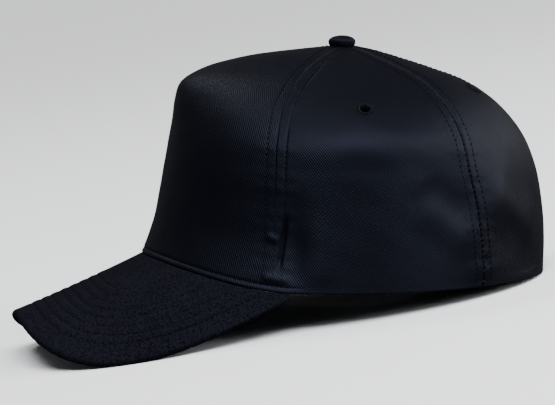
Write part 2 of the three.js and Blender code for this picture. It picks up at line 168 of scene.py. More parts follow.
peak = {
    "reach": 0.0639,
    "thickness": 0.003,
    "endThickness": 0.001,
    "endAngle": 64,
    "endWidth": 0.0024,
    "fallAngle": 24.5,
    "tipLift": 0.0027,
    "endSteepness": 57.2,
    "tipBend": 0.866,
    "tuck": 0.0012,
    "roundness": 2.7,
    "taperShare": 0.18,
    "edgeShare": 0.95,  # thickness at the outer edge, as a share
    "edgeTaper": 0.009,
    "topRounding": 0.7,  # share of the edge's thickness that is rounded over from above
    "rowCount": 8,
    "firstRow": 0.0098,  # from the edge to the first stitch row
    "rowSpacing": 0.0046,
    "rowDepth": 0.00042,
    "rowSoftness": 0.00052,
    "puff": 0.00016,
    "puffShare": 0.35,  # width of the swell between two rows, as a share of their spacing
    "underShare": 0.8,  # depth of the rows on the underside, as a share
    "rowFade": (0.02, 0.08),  # shares of the peak's width over which the rows begin
    "rowClearance": 0.0035,  # from the crown to the first stitches
    "columns": 281,
    "rows": 130,
    "fineRows": [0, 0.0001, 0.0003, 0.0006, 0.0009, 0.0012, 0.0016, 0.0021],
    "swingSamples": 6001,
    "edgeSamples": 900,
    "rowSamples": 700,
    "measuredAtOnce": 4000,
    "rowCrossing": 0.0002,  # a row stops where it comes nearer the edge than its place by this
}

peakEndX = crown["width"] / 2 * math.sin(math.radians(peak["endAngle"]))
peakEndY = -crown["length"] / 2 * math.cos(math.radians(peak["endAngle"]))
peakDepth = crown["length"] / 2 + peakEndY
peakPattern = peakDepth + peak["reach"]
peakFall = math.tan(math.radians(peak["fallAngle"]))
peakEndRadius = peakEndX / math.sin(math.radians(peak["endSteepness"]))
peakEndRise = peakEndRadius * (1 - math.cos(math.radians(peak["endSteepness"])))
peakFrontRise = peakEndRise - peakFall * peakDepth


def smoothStep(value, low, high):
    share = np.clip((value - low) / (high - low), 0, 1)
    return share * share * (3 - 2 * share)


# A rounded hump of height 1 about a centre
def hump(place, centre, width):
    return np.exp(-(((place - centre) / width) ** 2))


def peakRadius(forward):
    return peakEndRadius * (1 + (peak["tipBend"] - 1) * forward / peakPattern)


def peakSurface(across, forward):
    radius = peakRadius(forward)
    ahead = forward - peakDepth
    lift = peak["tipLift"] * (np.maximum(ahead, 0) / peak["reach"]) ** 2
    middle = peakFrontRise - peakFall * ahead + lift
    sag = radius * (1 - np.cos(across / radius))
    return np.stack([radius * np.sin(across / radius), peakEndY - forward, middle - sag], -1)


def signedAngle(angle):
    return np.mod(angle + 180, 360) - 180


def rimPlace(angle):
    turn = np.radians(angle)
    return crown["width"] / 2 * np.sin(turn), -crown["length"] / 2 * np.cos(turn)


def rimHeight(angle):
    turn = np.abs(signedAngle(angle))
    x, y = rimPlace(angle)
    forward = peakEndY - y
    radius = peakRadius(forward)
    across = radius * np.arcsin(np.clip(x / radius, -1, 1))
    overPeak = peakSurface(across, forward)[..., 2] + crown["rimGap"]
    toSide = smoothStep(turn, peak["endAngle"], 90)
    toBack = smoothStep(turn, 90, 180)
    side = crown["rimGap"] + (crown["sideRim"] - crown["rimGap"]) * toSide
    behind = side + (crown["backRim"] - side) * toBack
    return np.where(turn <= peak["endAngle"], overPeak, behind)


# Smooth value between start and end, with slopes taken from the neighbours
def hermite(before, start, end, after, reachBefore, span, reachAfter, share):
    slopeIn = (end - before) / (reachBefore + span) * span
    slopeOut = (after - start) / (span + reachAfter) * span
    s2 = share * share
    s3 = s2 * share
    return (
        (2 * s3 - 3 * s2 + 1) * start
        + (s3 - 2 * s2 + share) * slopeIn
        + (3 * s2 - 2 * s3) * end
        + (s3 - s2) * slopeOut
    )


def sectionShares(angle):
    turn = np.abs(signedAngle(angle))
    frontSeam, backSeam = crown["frontSeam"], crown["backSeam"]
    places = np.array([-frontSeam, 0, frontSeam, 90, backSeam, 180, 360 - backSeam])
    columns = ["frontSeam", "front", "frontSeam", "side", "backSeam", "back", "backSeam"]
    table = np.array([crownSections[name] for name in columns])
    i = np.clip(np.searchsorted(places, turn, side="left") - 1, 1, 4)
    gap = np.diff(places)
    share = ((turn - places[i]) / gap[i])[:, None]
    reach = [gap[i - 1][:, None], gap[i][:, None], gap[i + 1][:, None]]
    return hermite(table[i - 1], table[i], table[i + 1], table[i + 2], *reach, share)


# table holds one line of section values for each point, and row its place along them
def alongRows(table, row):
    last = table.shape[1] - 2
    i = np.clip(np.floor(row).astype(int), 0, last - 2)
    pick = np.arange(len(row))
    values = [table[pick, i + k] for k in range(4)]
    return hermite(*values, 1, 1, 1, row - i)


def alongColumn(name, row):
    values = np.array(crownSections[name], float)
    table = np.concatenate([[2 * values[0] - values[1]], values, [values[-2]]])
    return alongRows(np.tile(table, (len(row), 1)), row)


seamAngles = [crown["frontSeam"], crown["backSeam"], 180, -crown["backSeam"], -crown["frontSeam"]]


def seamPlace(seam, row):
    if abs(seam) == 180:
        return seam + 0 * row
    wander = seamWander["front" if abs(seam) < 90 else "back"]
    return seam + math.copysign(1, seam) * np.interp(row, range(len(wander)), wander)


def rowAtLevel(level, samples=400):
    rows = np.linspace(0, topRow, samples)
    return np.interp(level, alongColumn("up", rows), rows)


def crownSurface(angle, row):
    shape = np.broadcast(angle, row).shape
    angle = np.broadcast_to(angle, shape).ravel().astype(float)
    row = np.broadcast_to(row, shape).ravel().astype(float)
    shares = sectionShares(angle)
    table = np.concatenate([2 * shares[:, :1] - shares[:, 1:2], shares, -shares[:, -2:-1]], axis=1)
    share = alongRows(table, row)
    up = alongColumn("up", row)
    x, y = rimPlace(angle)
    rimReach = np.hypot(x, y)
    across = alongColumn("across", row)
    reach = np.hypot(x * across, y) * share
    held = smoothStep(up, 0, crown["heldLevel"]) * smoothStep(reach, 0, crown["heldReach"])
    out = np.zeros_like(row)
    for foldAngle, foldUp, wide, tall, foldOut in zip(*crownFolds.values()):
        aside = signedAngle(angle - foldAngle) / wide
        out += foldOut * np.exp(-(aside**2) - ((up - foldUp) / tall) ** 2)
    for seam in seamAngles:
        aside = np.radians(np.abs(signedAngle(angle - seamPlace(seam, row)))) * reach
        out -= crown["seamDepth"] * hump(aside, 0, crown["seamReach"])
        if seam != 180:
            ridge = crown["seamRidge"]["front" if abs(seam) < 90 else "back"]
            out += ridge * np.exp(-aside / crown["ridgeReach"])
    scale = share + held * out / rimReach
    rim = rimHeight(angle)
    points = np.stack([x * across * scale, y * scale, rim + up * (crown["height"] - rim)], -1)
    return points.reshape(shape + (3,))


# Swell of the soft folds at each point of the cloth
def foldLift(points):
    lift = np.zeros(points.shape[:-1])
    for angle0, up0, angle1, up1, wide, out in zip(*softFolds.values()):
        share = np.linspace(0, 1, foldSteps)
        row = rowAtLevel(up0 + (up1 - up0) * share)
        line = crownSurface(angle0 + (angle1 - angle0) * share, row)
        nearest = np.full(points.shape[:-1], 1.0)
        place = np.zeros(points.shape[:-1])
        for k, (start, step) in enumerate(zip(line[:-1], np.diff(line, axis=0))):
            along = np.clip(((points - start) @ step) / (step @ step), 0, 1)
            gap = np.linalg.norm(points - start - along[..., None] * step, axis=-1)
            place = np.where(gap < nearest, (k + along) / (len(line) - 1), place)
            nearest = np.minimum(nearest, gap)
        taper = smoothStep(place, 0, foldTaper) * (1 - smoothStep(place, 1 - foldTaper, 1))
        lift += out * taper * hump(nearest, 0, wide)
    return lift


# Meshes from grids of points


def gridNormals(points):
    along = np.gradient(points, axis=0)
    across = np.gradient(points, axis=1)
    normals = np.cross(across, along)
    return normals / np.maximum(np.linalg.norm(normals, axis=-1, keepdims=True), 1e-12)


def gridLengths(points, axis):
    steps = np.linalg.norm(np.diff(points, axis=axis), axis=-1)
    start = np.zeros_like(np.take(steps, [0], axis=axis))
    return np.concatenate([start, np.cumsum(steps, axis=axis)], axis=axis)


# flat holds each point's place on the flat cloth, for the UV map
def buildMesh(name, points, faces, flat=None):
    mesh = bpy.data.meshes.new(name)
    mesh.from_pydata(points.reshape(-1, 3).tolist(), [], faces)
    if flat is not None:
        corners = [corner for face in faces for corner in face]
        layer = mesh.uv_layers.new(name="UVMap")
        layer.data.foreach_set("uv", flat[corners].astype(np.float32).ravel())
    mesh.polygons.foreach_set("use_smooth", [True] * len(faces))
    mesh.update()
    return mesh


# Closed shell between two grids
def shellMesh(name, outer, inner, flat, closed=False):
    rows, columns = outer.shape[:2]
    count = rows * columns
    points = np.concatenate([outer.reshape(-1, 3), inner.reshape(-1, 3)])
    flat = np.tile(flat.reshape(-1, 2), (2, 1))
    index = np.arange(count).reshape(rows, columns)
    if closed:
        index = np.concatenate([index, index[:, :1]], axis=1)
    quads = []

    def addQuads(a, b, c, d):
        quads.append(np.stack([a.ravel(), b.ravel(), c.ravel(), d.ravel()], -1))

    addQuads(index[:-1, :-1], index[:-1, 1:], index[1:, 1:], index[1:, :-1])
    under = index + count
    addQuads(under[:-1, :-1], under[1:, :-1], under[1:, 1:], under[:-1, 1:])
    addQuads(index[0, :-1], under[0, :-1], under[0, 1:], index[0, 1:])
    addQuads(index[-1, :-1], index[-1, 1:], under[-1, 1:], under[-1, :-1])
    if not closed:
        addQuads(index[:-1, 0], index[1:, 0], under[1:, 0], under[:-1, 0])
        addQuads(index[:-1, -1], under[:-1, -1], under[1:, -1], index[1:, -1])
    return buildMesh(name, points, np.concatenate(quads).tolist(), flat)


def pieceName(node):
    first, *rest = node.split("_")
    return first + "".join(word.capitalize() for word in rest)


def addPiece(mesh, material):
    piece = bpy.data.objects.new(mesh.name, mesh)
    mesh.materials.clear()
    mesh.materials.append(material)
    bpy.context.scene.collection.objects.link(piece)
    return piece


def finishPiece(piece, nodes=()):
    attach(piece, "root")
    if nodes:
        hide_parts(*nodes)


# Applies the modifiers by taking the evaluated mesh, and leaves the object without any
def evaluatedMesh(piece, name):
    shown = piece.evaluated_get(bpy.context.evaluated_depsgraph_get())
    mesh = bpy.data.meshes.new_from_object(shown)
    mesh.name = name
    piece.modifiers.clear()
    piece.data = mesh
    return mesh


# Materials


# Gives a socket a plain value, or links another node's output to it
def feed(tree, socket, value):
    if isinstance(value, bpy.types.NodeSocket):
        tree.links.new(value, socket)
    else:
        socket.default_value = value


def addNode(tree, kind, values=None, **settings):
    node = tree.nodes.new(kind)
    for name, value in settings.items():
        setattr(node, name, value)
    for label, value in (values or {}).items():
        feed(tree, node.inputs[label], value)
    return node


def addMath(tree, operation, *values):
    return addNode(tree, "ShaderNodeMath", dict(enumerate(values)), operation=operation).outputs[0]


def plus(tree, first, second):
    return addMath(tree, "ADD", first, second)


def times(tree, first, second):
    return addMath(tree, "MULTIPLY", first, second)


def addNoise(tree, scale, detail):
    place = addNode(tree, "ShaderNodeTexCoord").outputs["Object"]
    values = {"Scale": scale, "Detail": detail, "Vector": place}
    return addNode(tree, "ShaderNodeTexNoise", values).outputs[0]


def addRange(tree, value, low, high, toLow=0, toHigh=1):
    values = {"Value": value, "From Min": low, "From Max": high, "To Min": toLow, "To Max": toHigh}
    return addNode(tree, "ShaderNodeMapRange", values).outputs[0]


def addBump(tree, height, strength, distance):
    return addNode(tree, "ShaderNodeBump", {"Height": height, "Strength": strength, "Distance": distance})


# Colour from dark to light round the middle of a value's range
def addRamp(tree, value, look):
    ramp = addNode(tree, "ShaderNodeValToRGB", {0: value})
    for element, side, name in zip(ramp.color_ramp.elements, (-1, 1), ("dark", "light")):
        element.position = 0.5 + side * look["rampSpread"]
        element.color = (*look[name], 1)
    return ramp.outputs[0]


def newMaterial(name):
    material = bpy.data.materials.new(name)
    material.use_nodes = True
    return material, material.node_tree, material.node_tree.nodes["Principled BSDF"].inputs


# Height of a twill weave over the flat cloth: slanting ridges broken into short floats
def twillHeight(tree, across, up, weave):
    slant = math.radians(weave["slant"])
    acrossWay = times(tree, across, math.cos(slant) / weave["ridge"])
    ridgeWay = plus(tree, acrossWay, times(tree, up, math.sin(slant) / weave["ridge"]))
    ridges = addMath(tree, "COSINE", times(tree, ridgeWay, 2 * math.pi))
    stagger = times(tree, addMath(tree, "ROUND", ridgeWay), weave["stagger"])
    floatWay = plus(tree, times(tree, up, 1 / weave["float"]), stagger)
    floats = addMath(tree, "COSINE", times(tree, floatWay, 2 * math.pi))
    return plus(tree, ridges, times(tree, floats, weave["floatDepth"]))


def clothMaterial(name, look):
    material, tree, shader = newMaterial(name)
    flat = addNode(tree, "ShaderNodeUVMap", uv_map="UVMap")
    split = addNode(tree, "ShaderNodeSeparateXYZ", {0: flat.outputs[0]})
    height = twillHeight(tree, split.outputs[0], split.outputs[1], look)
    fuzz = addNoise(tree, look["fuzzScale"], look["fuzzDetail"])
    cloud = addNoise(tree, look["cloudScale"], look["cloudDetail"])
    grain = addRange(tree, fuzz, 0.5 - look["grainSpread"], 0.5 + look["grainSpread"])
    # The weave's height also sets the colour: its grooves are painted darker and its ridges lighter,
    # painted shade in the weave, over the cloth's own grain and mottling.
    shade = addRange(tree, height, -look["heightSpan"], look["heightSpan"])
    soft = plus(tree, times(tree, grain, look["fuzzShare"]), times(tree, cloud, look["cloudShare"]))
    mixed = plus(tree, times(tree, shade, look["paintedShadeShare"]), soft)
    feed(tree, shader["Base Color"], addRamp(tree, mixed, look))
    dull = look["roughness"] + look["roughnessRange"]
    smooth = look["roughness"] - look["roughnessRange"]
    feed(tree, shader["Roughness"], addRange(tree, mixed, 0, 1, dull, smooth))
    weaveBump = addBump(tree, shade, look["bump"], look["bumpHeight"])
    fuzzBump = addBump(tree, fuzz, look["fuzzBump"], look["bumpHeight"])
    feed(tree, fuzzBump.inputs["Normal"], weaveBump.outputs[0])
    feed(tree, shader["Normal"], fuzzBump.outputs[0])
    shader["Specular IOR Level"].default_value = look["gloss"]
    shader["Specular Tint"].default_value = (*look["glossTint"], 1)
    return material


crownLook = {
    "ridge": 0.00098,
    "float": 0.0011,
    "stagger": 0.37,
    "floatDepth": 0.5,
    "heightSpan": 1.2,  # the weave's height runs from minus this to plus this
    "slant": 35,
    "paintedShadeShare": 0.6,
    "fuzzScale": 900,
    "fuzzDetail": 3,
    "fuzzShare": 0.25,
    "grainSpread": 0.16,
    "cloudScale": 25,
    "cloudDetail": 2,
    "cloudShare": 0.25,
    "rampSpread": 0.3,
    "dark": (0.0005, 0.0005, 0.001),
    "light": (0.0025, 0.0023, 0.004),
    "roughness": 0.46,
    "roughnessRange": 0.08,
    "bump": 0.65,
    "bumpHeight": 0.00015,
    "fuzzBump": 0.6,
    "gloss": 0.115,
    "glossTint": (0.53, 0.65, 1.0),
}
peakLook = {
    **crownLook,
    "slant": 60,
    "dark": (0.0006, 0.0006, 0.0011),
    "light": (0.0058, 0.0056, 0.009),
    "roughness": 0.8,
    "paintedShadeShare": 0.3,
    "fuzzShare": 0.5,
    "fuzzBump": 1.0,
    "bump": 0.2,
    "gloss": 0.04,
}
buttonLook = {**crownLook, "slant": 45, "roughness": 0.56, "gloss": 0.1}
bandLook = {
    **crownLook,
    "ridge": 0.0008,
    "slant": 50,
    "roughness": 0.8,
    "gloss": 0.06,
    "dark": (0.002, 0.0022, 0.0034),
    "light": (0.006, 0.0064, 0.0095),
}


def threadMaterial(name, look):
    material, tree, shader = newMaterial(name)
    strands = addNoise(tree, look["strandScale"], look["strandDetail"])
    feed(tree, shader["Base Color"], addRamp(tree, strands, look))
    feed(tree, shader["Normal"], addBump(tree, strands, look["bump"], look["bumpHeight"]).outputs[0])
    shader["Roughness"].default_value = look["roughness"]
    shader["Specular IOR Level"].default_value = look["gloss"]
    return material


# The sewing thread is painted darker than the cloth it matches: painted shade standing for the shadowed
# needle holes along each sewn row.
paintedShadeThreadLook = {
    "strandScale": 2500,
    "strandDetail": 2,
    "rampSpread": 0.2,
    "dark": (0.0004, 0.0004, 0.0008),
    "light": (0.0016, 0.0018, 0.003),
    "roughness": 0.7,
    "bump": 0.4,
    "bumpHeight": 0.0001,
    "gloss": 0.03,
}
# The eyelet threads are painted lighter than the cloth: a painted highlight on the threads where they catch
# the light.
eyeletLookPaintedLight = {
    **paintedShadeThreadLook,
    "dark": (0.003, 0.0033, 0.0055),
    "light": (0.0085, 0.0095, 0.0145),
    "roughness": 0.5,
    "gloss": 0.08,
}

crownTwill = clothMaterial("crownTwill", crownLook)
peakTwill = clothMaterial("peakTwill", peakLook)
buttonTwill = clothMaterial("buttonTwill", buttonLook)
bandCotton = clothMaterial("bandCotton", bandLook)
# The dark thread carries painted shade; the eyelet thread carries painted highlight.
paintedShadeThread = threadMaterial("paintedShadeThread", paintedShadeThreadLook)
eyeletThreadPaintedLight = threadMaterial("eyeletThreadPaintedLight", eyeletLookPaintedLight)
print("materials made")

# Sewn rows: each path is a line of edges, and Geometry Nodes set the stitches along it
stitching = {
    "pitch": 0.0026,
    "length": 0.0018,
    "radius": 0.00019,
    "crest": 0.00008,
    "dip": 0.00025,
    "unevenness": 0.06,
    "seed": 4,
    "archSteps": 4,
    "threadSides": 6,
}
threadLift = 0.0001


# Path of a sewn row in the resting frame, a little off the cloth
def threadPath(points, normals):
    return toRest(points + normals * threadLift), turnToRest(normals)


# A new tree with named inputs after its geometry, and the outputs of its input node
def newTree(name, inputs):
    tree = bpy.data.node_groups.new(name, "GeometryNodeTree")
    for label, kind in {"Geometry": "Geometry", **inputs}.items():
        tree.interface.new_socket(label, in_out="INPUT", socket_type="NodeSocket" + kind)
    tree.interface.new_socket("Geometry", in_out="OUTPUT", socket_type="NodeSocketGeometry")
    return tree, addNode(tree, "NodeGroupInput").outputs


def addPoint(tree, x, z):
    return addNode(tree, "ShaderNodeCombineXYZ", {"X": x, "Z": z}).outputs[0]


def addThread(tree, arch, radius):
    values = {"Resolution": stitching["threadSides"], "Radius": radius}
    section = addNode(tree, "GeometryNodeCurvePrimitiveCircle", values)
    values = {"Fill Caps": True, "Curve": arch, "Profile Curve": section.outputs[0]}
    return addNode(tree, "GeometryNodeCurveToMesh", values).outputs[0]


def randomSize(tree, low, high, seed):
    size = addNode(tree, "FunctionNodeRandomValue", data_type="FLOAT")
    sockets = {socket.name: socket for socket in size.inputs if socket.enabled}
    for label, value in (("Min", low), ("Max", high), ("Seed", seed)):
        feed(tree, sockets[label], value)
    return next(socket for socket in size.outputs if socket.enabled)


# Copies of one thread laid on points and made real
def layThreads(tree, points, thread, rotation, size):
    values = {"Points": points, "Instance": thread, "Rotation": rotation, "Scale": size}
    laid = addNode(tree, "GeometryNodeInstanceOnPoints", values)
    return addNode(tree, "GeometryNodeRealizeInstances", {0: laid.outputs[0]}).outputs[0]


def addSmoothThread(tree, geometry, material):
    smooth = addNode(tree, "GeometryNodeSetShadeSmooth", {"Geometry": geometry})
    values = {"Geometry": smooth.outputs[0], "Material": material}
    return addNode(tree, "GeometryNodeSetMaterial", values).outputs[0]


# The stitch tree's inputs and the sizes they take
stitchSizes = {
    "Stitch pitch": "pitch",
    "Stitch length": "length",
    "Thread radius": "radius",
    "Crest": "crest",
    "Dip": "dip",
    "Unevenness": "unevenness",
}


def makeStitchTree():
    inputs = {**{label: "Float" for label in stitchSizes}, "Seed": "Int", "Thread": "Material"}
    tree, given = newTree("stitchRow", inputs)

    # one stitch: a short arch of thread whose ends dip into the cloth
    half = times(tree, given["Stitch length"], 0.5)
    minusHalf = times(tree, given["Stitch length"], -0.5)
    down = times(tree, given["Dip"], -1)
    handle = plus(tree, times(tree, given["Crest"], 2), given["Dip"])
    arch = addNode(tree, "GeometryNodeCurveQuadraticBezier", {
        "Resolution": stitching["archSteps"],
        "Start": addPoint(tree, minusHalf, down),
        "Middle": addPoint(tree, 0, handle),
        "End": addPoint(tree, half, down),
    })
    thread = addThread(tree, arch.outputs[0], given["Thread radius"])

    # the row: even steps along the path, each stitch laid along it and square to the cloth
    path = addNode(tree, "GeometryNodeMeshToCurve", {0: given["Geometry"]})
    values = {"Curve": path.outputs[0], "Length": given["Stitch pitch"]}
    steps = addNode(tree, "GeometryNodeResampleCurve", values, mode="LENGTH")
    tangent = addNode(tree, "GeometryNodeInputTangent")
    values = {"Name": "clothNormal"}
    clothNormal = addNode(tree, "GeometryNodeInputNamedAttribute", values, data_type="FLOAT_VECTOR")
    values = {"Primary Axis": tangent.outputs[0], "Secondary Axis": clothNormal.outputs["Attribute"]}
    turn = addNode(tree, "FunctionNodeAxesToRotation", values, primary_axis="X", secondary_axis="Z")
    low = addMath(tree, "SUBTRACT", 1, given["Unevenness"])
    size = randomSize(tree, low, plus(tree, 1, given["Unevenness"]), given["Seed"])
    row = layThreads(tree, steps.outputs[0], thread, turn.outputs[0], size)
    addNode(tree, "NodeGroupOutput", {0: addSmoothThread(tree, row, given["Thread"])})
    return tree


stitchTree = makeStitchTree()


# Runs a Geometry Nodes tree on a piece with the values given, and keeps what comes out
def runTree(piece, name, tree, values):
    piece.name = name
    modifier = piece.modifiers.new(tree.name, "NODES")
    modifier.node_group = tree
    for item in tree.interface.items_tree:
        if item.in_out == "INPUT" and item.name in values:
            modifier[item.identifier] = values[item.name]
    return evaluatedMesh(piece, name)


# rows is a list of (points, normals) in the resting frame, one for each sewn row
def sewRows(name, rows, sizes):
    points, normals, edges = [], [], []
    for rowPoints, rowNormals in rows:
        first = len(points)
        points.extend(rowPoints.tolist())
        normals.extend(rowNormals.tolist())
        edges.extend((first + k, first + k + 1) for k in range(len(rowPoints) - 1))
    mesh = bpy.data.meshes.new(name + "Paths")
    mesh.from_pydata(points, edges, [])
    attribute = mesh.attributes.new("clothNormal", "FLOAT_VECTOR", "POINT")
    attribute.data.foreach_set("vector", np.array(normals, np.float32).ravel())
    piece = addPiece(mesh, paintedShadeThread)
    values = {label: sizes[key] for label, key in stitchSizes.items()}
    runTree(piece, name, stitchTree, {**values, "Seed": sizes["seed"], "Thread": paintedShadeThread})
    finishPiece(piece)


# The rim is sewn through only where the peak is set in
rimSewing = {
    "height": 0.003,
    "reach": 69,  # degrees to each side of the front
    "rollFade": (60, 70),
    "seamGap": 0.0006,
    "length": 0.0019,
}

# Crown panels
panel = {
    "columnStep": 0.0014,
    "rowStep": 0.00065,
    "edgeColumns": [0, 0.0001, 0.0003, 0.0006, 0.001, 0.0016, 0.0023, 0.003, 0.0036, 0.0041,
                    0.0045, 0.0049, 0.0053, 0.0058, 0.0065, 0.0075, 0.0088],
    "rimRows": [0, 0.0002, 0.0005, 0.0009, 0.0013, 0.0017, 0.002, 0.0023, 0.0026, 0.003,
                0.0034, 0.0039, 0.0045, 0.0053, 0.0063],
    "topRadius": 0.002,
    "edgeRounding": 0.0004,
    "beading": 1.2,
    "stitchAside": 0.0047,
    "stitchSoftness": 0.00045,
    "firstStitch": 0.0034,  # height of the lowest stitch above the rim
    "rowsEnd": 0.0072,  # distance from the top's middle at which the rows end
    "narrowest": 2.2,  # rows end where the panel is narrower than this many times their distance
    "seamFade": (0.035, 0.075),  # heights between which the seam grooves come to full depth
    "seamTop": 0.013,
    "seamPuff": 0.00004,
    "puffCentre": 0.5,  # places and widths as shares of the distance from seam to row
    "puffWidth": 0.3,
    "beyondCentre": 1.6,
    "beyondWidth": 0.5,
    "beyondShare": 0.7,
    "pucker": 0.00011,
    "puckerWaves": [(0.6, 0.0061, 1.7), (0.5, 0.0093, 0.6)],  # share, length, shift
    "seamHeld": (0.003, 0.008),  # heights over which each effect begins above the rim
    "rippleHeld": (0.004, 0.02),
    "foldHeld": (0.002, 0.006),
    "rollHeight": 0.002,
    "rollOut": 0.0002,
    "rollCrease": 0.0003,
    "rollCentre": 0.5,  # places and widths as shares of the roll's height
    "creaseCentre": 1.4,
    "creaseWidth": 0.35,
    "plainRoll": 0.04,  # share of the roll left where the rim isn't sewn through
    "allowanceWidth": 0.0085,
    "allowanceThickness": 0.0005,
    "allowanceEdge": 0.0006,
    "bandTop": 0.036,
    "bandFade": 0.003,
    "ripple": 0.00022,
    "samples": 600,
    "fineSteps": 241,
}

# How far each seam, and the sewn row on either side of it, press into the cloth
seamStyles = {
    "front": {"depth": 0.0003, "width": 0.0003, "rounding": 0.0003, "ahead": 0.0001, "behind": 0.0004,
              "lowShare": 0.1},
    "back": {"depth": 0.0011, "width": 0.00055, "rounding": 0.0005, "ahead": 0.00007,
             "behind": 0.00007, "lowShare": 1},
}


# Rows close to the top, from which a distance from its middle can be read
def topRows(count):
    return np.linspace(topRow - 2, topRow, count)


def topRowFor(radius):
    rows = topRows(400)
    points = crownSurface(np.full(len(rows), 90.0), rows)
    reach = np.hypot(points[:, 0], points[:, 1])
    return float(np.interp(-radius, -reach, rows))


# Angle and row of each grid point, with even steps along the cloth and fine ones at the edges
def panelSteps(start, end):
    last = topRowFor(panel["topRadius"])
    middle = np.full(panel["samples"], (start + end) / 2)
    rows = np.linspace(0, last, panel["samples"])
    climb = gridLengths(crownSurface(middle, rows), 0)
    rim = np.array(panel["rimRows"])
    steps = int((climb[-1] - rim[-1]) / panel["rowStep"])
    heights = np.concatenate([rim, np.linspace(rim[-1], climb[-1], steps)[1:]])
    rows = np.interp(heights, climb, rows)

    share = np.linspace(0, 1, panel["fineSteps"])[None]
    first, final = seamPlace(start, rows)[:, None], seamPlace(end, rows)[:, None]
    angleGrid = first + (final - first) * share
    rowGrid = np.repeat(rows[:, None], share.shape[1], 1)
    lengths = gridLengths(crownSurface(angleGrid, rowGrid), 1)
    edge = np.array(panel["edgeColumns"])
    across = lengths[:, -1].max()
    inner = int((across - 2 * edge[-1]) / panel["columnStep"])
    angles, asides = [], []
    for line, fine in zip(lengths, angleGrid):
        total = line[-1]
        squeeze = min(1, total / (3 * edge[-1]))
        left = edge * squeeze
        between = np.linspace(left[-1], total - left[-1], inner + 2)[1:-1]
        aside = np.concatenate([left, between, (total - left)[::-1]])
        angles.append(np.interp(aside, line, fine))
        asides.append(np.stack([aside, np.full_like(aside, total)], -1))
    rowGrid = np.repeat(rows[:, None], len(angles[0]), 1)
    return np.array(angles), rowGrid, np.array(asides)


def seamPucker(seam, climb):
    waves = [share * np.sin(2 * np.pi * climb / length + shift * seam)
             for share, length, shift in panel["puckerWaves"]]
    return panel["pucker"] * sum(waves)


# Slow and fast waves that lie across each other over the whole crown. Each row is a share and
# two waves, which are given by their pace along x, y and z and their shift.
rippleWaves = [
    (1, (130, 0, 60, 0.7), (0, 95, -70, 1.9)),
    (0.35, (260, 0, -180, 2.1), (0, 230, 160, 0)),
]


def clothRipple(points):
    ripple = np.zeros(points.shape[:-1])
    for share, *waves in rippleWaves:
        for *pace, shift in waves:
            share = share * np.sin(points @ np.array(pace) + shift)
        ripple += share
    return panel["ripple"] * ripple


def rounding(distance, radius):
    inside = np.clip(radius - distance, 0, radius)
    return radius - np.sqrt(radius**2 - inside**2)


# Depth and width of a seam's groove, rounding of the cloth's edge, and depth of the row beside it
def seamPress(seam, middle, climb, reach):
    style = seamStyles["front" if abs(seam) < 90 else "back"]
    fade = style["lowShare"] + (1 - style["lowShare"]) * smoothStep(climb, *panel["seamFade"])
    fade = fade * smoothStep(reach, panel["topRadius"], panel["seamTop"])
    bead = 0.5 + 0.5 * np.cos(2 * np.pi * (climb - panel["firstStitch"]) / stitching["pitch"])
    beaded = fade * (1 + panel["beading"] * (bead - 0.5))
    row = style["behind"] if abs(middle) > abs(seam) else style["ahead"]
    return style["depth"] * beaded, style["width"] + 0 * climb, style["rounding"] * fade, row * beaded


